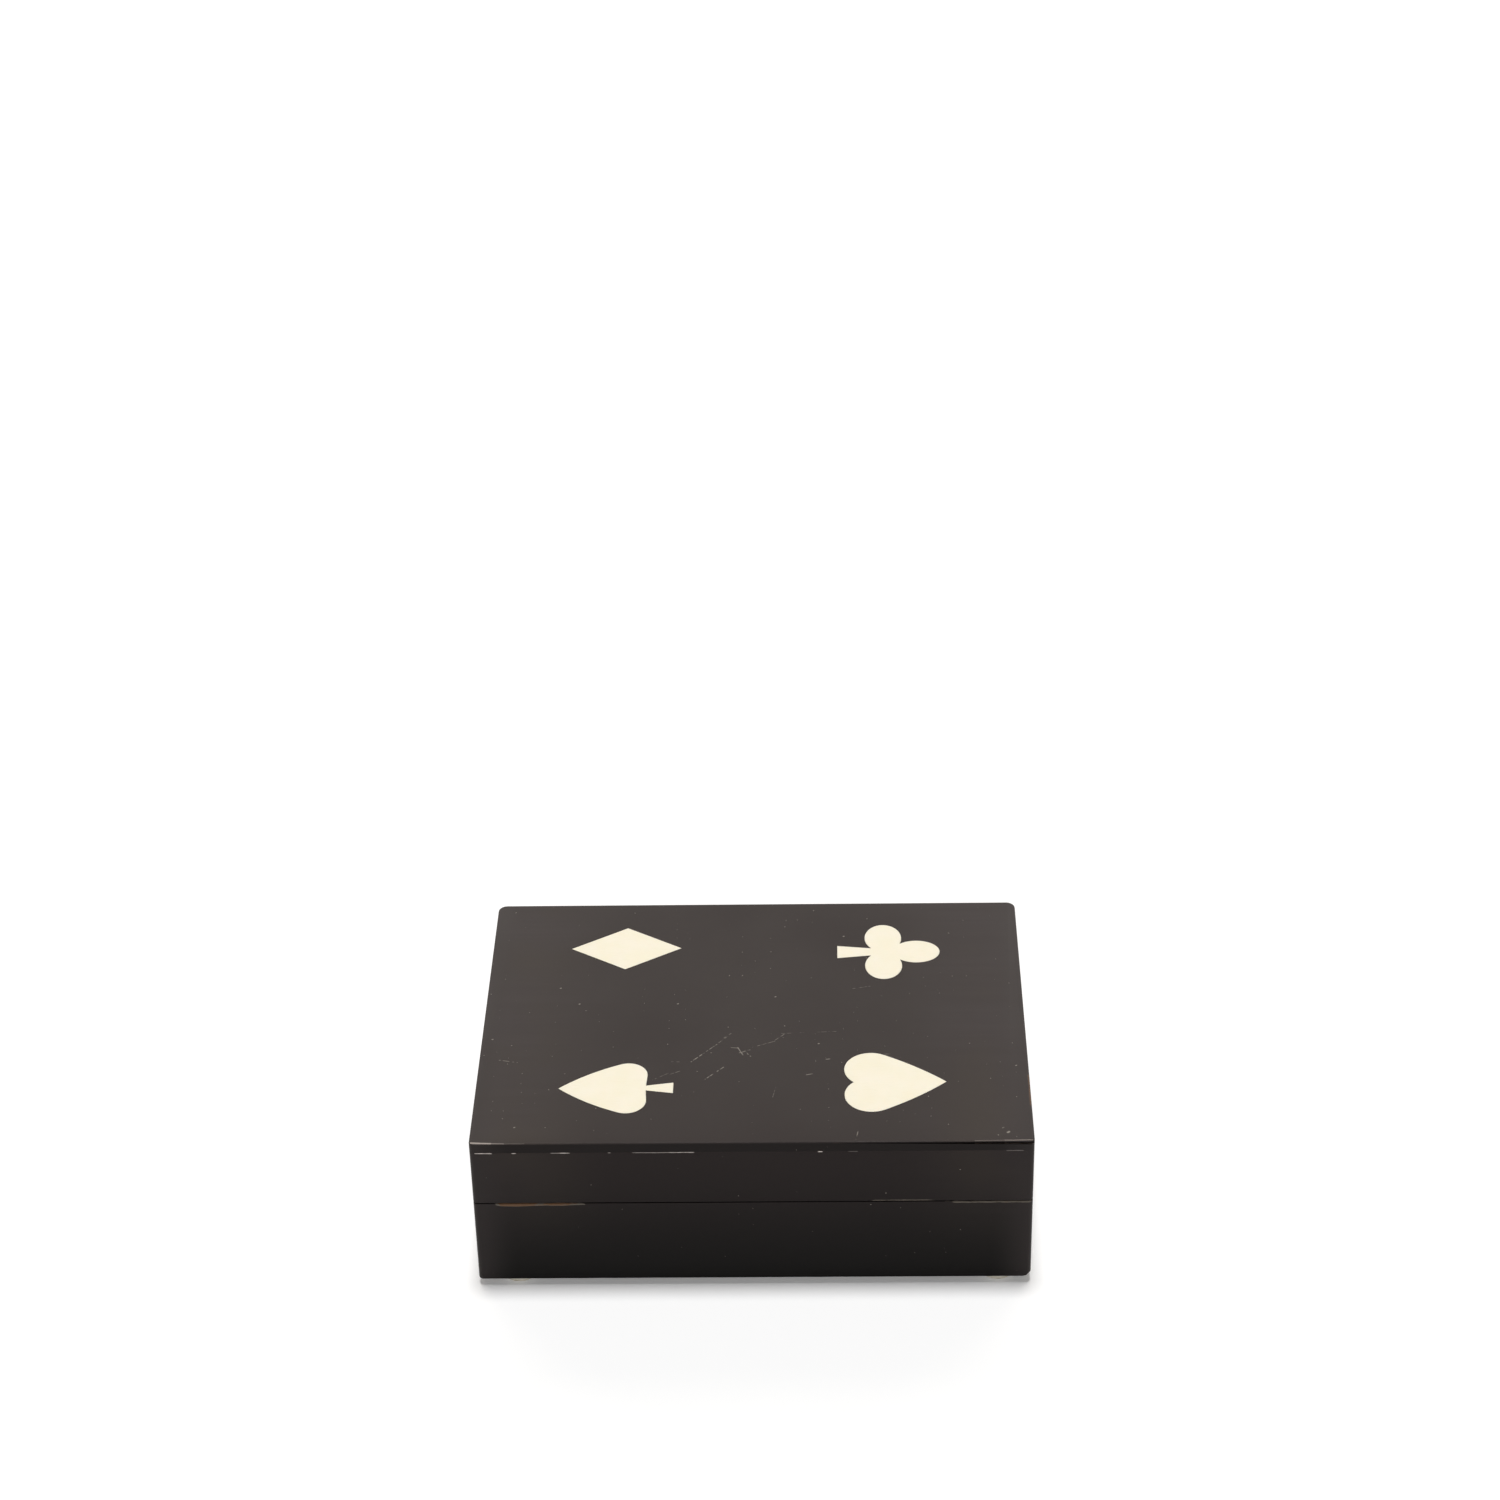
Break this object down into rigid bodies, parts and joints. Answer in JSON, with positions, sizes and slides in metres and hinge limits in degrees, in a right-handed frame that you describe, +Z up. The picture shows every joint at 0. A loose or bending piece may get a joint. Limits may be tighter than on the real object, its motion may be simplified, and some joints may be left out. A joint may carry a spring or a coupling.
{
  "type": "playing card box",
  "caption": "Hinged ebonised wood box for playing cards, with inlaid card suits on the lid, felt-lined wells side by side, brass butt hinges and round feet.",
  "frame": {"origin": "middle of the box in plan, on the surface that its feet stand on", "axes": "+X to the right along the long side, +Y to the back where the hinges are, +Z up"},
  "size_m": [0.152, 0.111, 0.0497],
  "materials": {
    "ebonised_wood": "satin",
    "inner_wood": "matte",
    "bone_inlay": "satin",
    "green_felt": "matte",
    "hinge_brass": "satin",
    "foot_rubber": "matte"
  },
  "bodies": {
    "base": {"floor_board": "inner_wood", "base_front_wall": "ebonised_wood", "base_back_wall": "ebonised_wood", "base_left_wall": "ebonised_wood", "base_right_wall": "ebonised_wood", "card_divider": "inner_wood", "left_well_felt": "green_felt", "right_well_felt": "green_felt", "front_left_foot": "foot_rubber", "front_right_foot": "foot_rubber", "back_left_foot": "foot_rubber", "back_right_foot": "foot_rubber", "left_hinge_base_leaf": "hinge_brass", "right_hinge_base_leaf": "hinge_brass", "left_hinge_pin": "hinge_brass", "right_hinge_pin": "hinge_brass", "base_hinge_screws": "hinge_brass"},
    "lid": {"lid_top_board": "ebonised_wood", "lid_front_wall": "ebonised_wood", "lid_back_wall": "ebonised_wood", "lid_left_wall": "ebonised_wood", "lid_right_wall": "ebonised_wood", "diamond_inlay": "bone_inlay", "club_inlay": "bone_inlay", "spade_inlay": "bone_inlay", "heart_inlay": "bone_inlay", "left_hinge_lid_leaf": "hinge_brass", "right_hinge_lid_leaf": "hinge_brass", "lid_hinge_screws": "hinge_brass"}
  },
  "joints": [
    {"name": "lid_hinge", "type": "hinge", "parent": "base", "child": "lid", "pos_m": [0, 0.0537, 0.029], "axis": [-1, 0, 0], "range_deg": [0, 100]}
  ]
}
